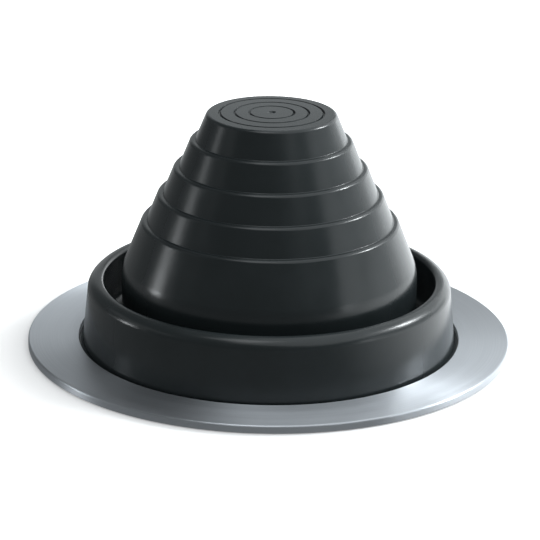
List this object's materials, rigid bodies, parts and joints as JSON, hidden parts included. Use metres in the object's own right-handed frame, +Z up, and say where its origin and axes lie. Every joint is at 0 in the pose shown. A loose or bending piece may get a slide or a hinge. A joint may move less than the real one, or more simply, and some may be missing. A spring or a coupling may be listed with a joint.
{
  "type": "pipe flashing boot",
  "caption": "Stepped rubber cone with a closed top and a rolled rim round its foot, on a flat round soft aluminium base ring, for sealing a pipe through a metal roof.",
  "frame": {"origin": "centre of the sealing face, where the cone's axis meets the roof", "axes": "+Z up the cone's axis, away from the roof; the part is round about Z, so X and Y are free"},
  "size_m": [0.2044, 0.2044, 0.1011],
  "materials": {
    "epdm_rubber": "smooth moulded black EPDM with a satin sheen",
    "soft_aluminium": "bare rolled sheet, satin, with a faint turned grain"
  },
  "bodies": {
    "root": {"rubber_boot": "epdm_rubber", "base_ring": "soft_aluminium"}
  },
  "joints": []
}
